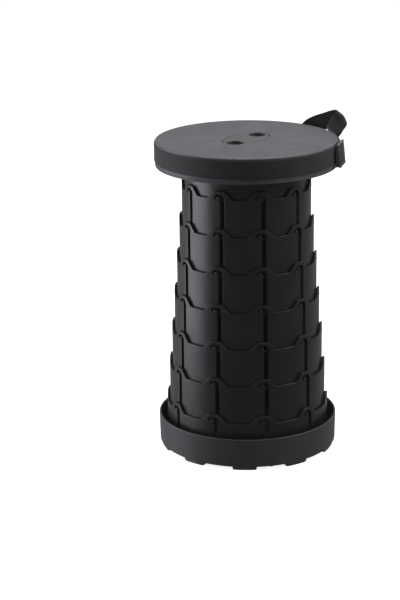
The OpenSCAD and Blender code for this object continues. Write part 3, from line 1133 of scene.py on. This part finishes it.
def build_webbing():
    """The band round the seat and the carrying handle."""
    rim = Shell()
    Strap(rim_route()).fill(rim, 240)
    rim.piece("rim_band", "seat", WEBBING, "webbing", "rim_strap")
    handle = Strap(handle_route(), wave=0.00012, curls=[(7.7, 0.9, 0.0045)])
    shell = Shell()
    handle.fill(shell, 200)
    shell.piece("handle", "seat", WEBBING, "webbing", "handle_strap")
    stitch_rows(handle, [
        (3.4, 3.56, -0.8, 0.8, 26), (3.95, 4.1, -0.8, 0.8, 26), (15.3, 15.42, -0.8, 0.8, 26),
    ])


# ---- buckle

def build_buckle():
    """The ladder-lock buckle: two rails joined by three bars, and the webbing over the middle bar."""
    out = polar(1, BUCKLE_ANGLE)
    along = quarter(out)
    face = out * cos(BUCKLE_LEAN) + UP * sin(BUCKLE_LEAN)
    up = face.cross(along)
    origin = out * BUCKLE_AT + UP * WEB_Z
    rail_h, rail_t, bar_at, bar_t = 0.003, 0.0038, 0.0006, 0.0024
    end_bar, centre_bar = 0.004, 0.005
    opening = WEB_W + 0.0012
    half = BUCKLE_LENGTH / 2
    shell = Shell()

    def level(height):
        return on_plane(origin + face * height, along, up)

    spans = ((-half + end_bar, -centre_bar / 2), (centre_bar / 2, half - end_bar))
    slots = [rectangle(*span, -opening / 2, opening / 2, 0.001) for span in spans]
    height = opening / 2 + rail_h - 0.0005
    slab(shell, rectangle(-half + 0.0003, half - 0.0003, -height, height, 0.0025), slots,
         level(bar_at + bar_t), bar_t, 0.0008, 0.003, hole_fillet=0.0007)
    for side in (-1, 1):
        middle = side * (opening + rail_h) / 2
        rail = rectangle(-half, half, middle - rail_h / 2, middle + rail_h / 2, 0.0013)
        slab(shell, rail, [], level(rail_t), rail_t, 0.001, 0.003)
        ends = sorted((side * (half - 0.0034), side * (half - 0.0008)))
        for k in range(9):
            tooth = (k - 4) * 0.0027
            grip = rectangle(*ends, tooth - 0.0008, tooth + 0.0008, 0.0006)
            slab(shell, grip, [], level(bar_at + bar_t + 0.0007), 0.0012, 0.0004, 0.003)
    heel_t, heel_top, heel_low, heel_h = 0.0022, -0.0007, -0.0039, opening / 2 + rail_h - 0.001
    heel = rounded([(heel_low, -heel_h, 0.0008), (bar_at + 0.001, -heel_h, 0.0005),
                    (bar_at + 0.001, heel_h, 0.0005), (heel_top, heel_h, 0.0005)])
    heel = [(spot.yx, away.yx) for spot, away in reversed(heel)]
    for far in (heel_t - half, half):
        slab(shell, heel, [], on_plane(origin + along * far, up, face), heel_t, 0.0004, 0.003)
    shell.piece("ladder_buckle", "buckle", BUCKLE_PLASTIC, "buckle_plastic", "buckle")

    lap = Shell()
    foot_y, rise_y, top_y, low, lap_t = 0.0154, 0.012, 0.0036, -0.0003, 0.0009
    high = bar_at + bar_t + 0.0002
    right = [
        (top_y - 0.0006, high, 0.0015), (rise_y - 0.0004, low, 0.002), (foot_y, low, 0),
        (foot_y, low + lap_t, 0), (rise_y + 0.0004, low + lap_t, 0.002), (top_y, high + lap_t, 0.002),
    ]
    left = [(-x, y, radius) for x, y, radius in reversed(right)]
    section = spaced(rounded(right + left), 0.002)
    rows = []
    for k in range(13):
        share = k / 6 - 1
        row = []
        for spot, away in section:
            place = origin + along * spot.x + face * spot.y + up * (share * SHOWN_W / 2)
            weave = (spot.x, share * WEB_W / 2, 0)
            row.append(lap.point(place, along * away.x + face * away.y, 0, weave))
        rows.append(row)
    lap.bar(rows)
    lap.piece("buckle_lap", "buckle", WEBBING, "webbing", "buckle_webbing")


# ---- studio

def world_light():
    """A soft grey surround, brighter behind the stool than in front of it."""
    m = Nodes("studio", "worlds", "Background")
    bpy.context.scene.world = m.owner
    _, y, _ = m.split(m.node("ShaderNodeTexCoord").outputs["Generated"])
    depth = m.node("ShaderNodeValToRGB")
    ramp = depth.color_ramp
    stops = [(0.0, 0.13), (0.42, 0.145), (0.58, 0.18), (1.0, 0.32)]
    while len(ramp.elements) < len(stops):
        ramp.elements.new(0.5)
    for element, (position, level) in zip(ramp.elements, stops):
        element.position = position
        element.color = (level, level, level * 1.01, 1)
    m.link(m.op("MULTIPLY_ADD", y, 0.5, 0.5), depth.inputs[0])
    m.link(depth.outputs[0], m.shader.inputs["Color"])
    m.set("Strength", 1.0)


def soft_box(name, centre, target, width, height, power, colour=(1, 1, 1)):
    """A rectangular studio light that the camera doesn't see."""
    light = bpy.data.lights.new(name, "AREA")
    light.shape = "RECTANGLE"
    light.size = width
    light.size_y = height
    light.energy = power
    light.color = colour
    made = in_scene(name, light)
    made.location = centre
    made.rotation_euler = (Vector(target) - Vector(centre)).to_track_quat("-Z", "Y").to_euler()
    made.visible_camera = False


def shown_to_camera_only(obj):
    """Makes obj part of the stage, and keeps it from lighting or shading the stool."""
    for ray in ("diffuse", "glossy", "transmission", "shadow"):
        setattr(obj, f"visible_{ray}", False)


def glowing(name, strength):
    """The nodes of a stage surface that glows white and has no shine."""
    m = Nodes(name)
    m.set("Specular IOR Level", 0.0)
    m.set("Emission Color", (1, 1, 1, 1))
    m.set("Emission Strength", strength)
    return m


def build_studio():
    """A plain pale floor, a white backdrop all round, and three lights."""
    floor = glowing("floor", FLOOR_GLOW)
    floor.set("Roughness", 0.9)
    pale = floor.mix(floor.noise(3, 2), (0.80, 0.80, 0.80, 1), (0.82, 0.82, 0.82, 1))
    floor.link(pale, floor.shader.inputs["Base Color"])
    mesh = bpy.data.meshes.new("floor")
    corners = [(x * STUDIO_R, y * STUDIO_R, 0) for x, y in ((-1, -1), (1, -1), (1, 1), (-1, 1))]
    mesh.from_pydata(corners, [], [(0, 1, 2, 3)])
    mesh.materials.append(floor.owner)
    shown_to_camera_only(in_scene("floor", mesh))

    white = glowing("backdrop", BACKDROP_GLOW)
    white.set("Base Color", (0, 0, 0, 1))
    bpy.ops.mesh.primitive_uv_sphere_add(segments=48, ring_count=24, radius=STUDIO_R)
    dome = bpy.context.object
    dome.name = "backdrop"
    dome.data.materials.append(white.owner)
    shown_to_camera_only(dome)

    soft_box("left_box", (-1.41, 0.05, 0.46), (0, 0, 0.36), 1.1, 1.6, 18, (0.93, 0.92, 1.0))
    soft_box("right_box", (1.25, -0.25, 1.15), (0, 0, 0.3), 1.0, 1.0, 11)
    soft_box("top_box", (0.1, 0.5, 2.0), (0, 0, 0.3), 1.6, 1.6, 26)


def build_camera():
    """The photograph's viewpoint."""
    camera = bpy.data.cameras.new("camera")
    camera.lens = 113.36
    camera.sensor_width = 36
    camera.clip_end = 60
    made = in_scene("camera", camera)
    aside, down, roll = 0.02598, 0.29858, -0.01216
    made.matrix_world = (
        Matrix.Translation((0, -2.52743, 0.985))
        @ Matrix.Rotation(aside, 4, "Z")
        @ Matrix.Rotation(pi / 2 - down, 4, "X")
        @ Matrix.Rotation(roll, 4, "Z")
    )
    bpy.context.scene.camera = made
    view = bpy.context.scene.view_settings
    view.view_transform = "Standard"
    view.use_curve_mapping = True
    view.curve_mapping.black_level = (BLACK_LEVEL, BLACK_LEVEL, BLACK_LEVEL)
    view.curve_mapping.update()


build_base()
build_pads()
build_rings()
build_top_ring()
build_seat()
build_insert()
build_webbing()
build_buckle()
screw_set("tray_screws", "base", BASE_SCREW_AT, BASE_SCREW_OFFSET, BASE_Z, 0.013, "base_screws")
screw_set("seat_flange_screws", "seat", SEAT_SCREW_AT, 0, FLANGE_Z, 0.012, "seat_screws")
world_light()
build_studio()
build_camera()
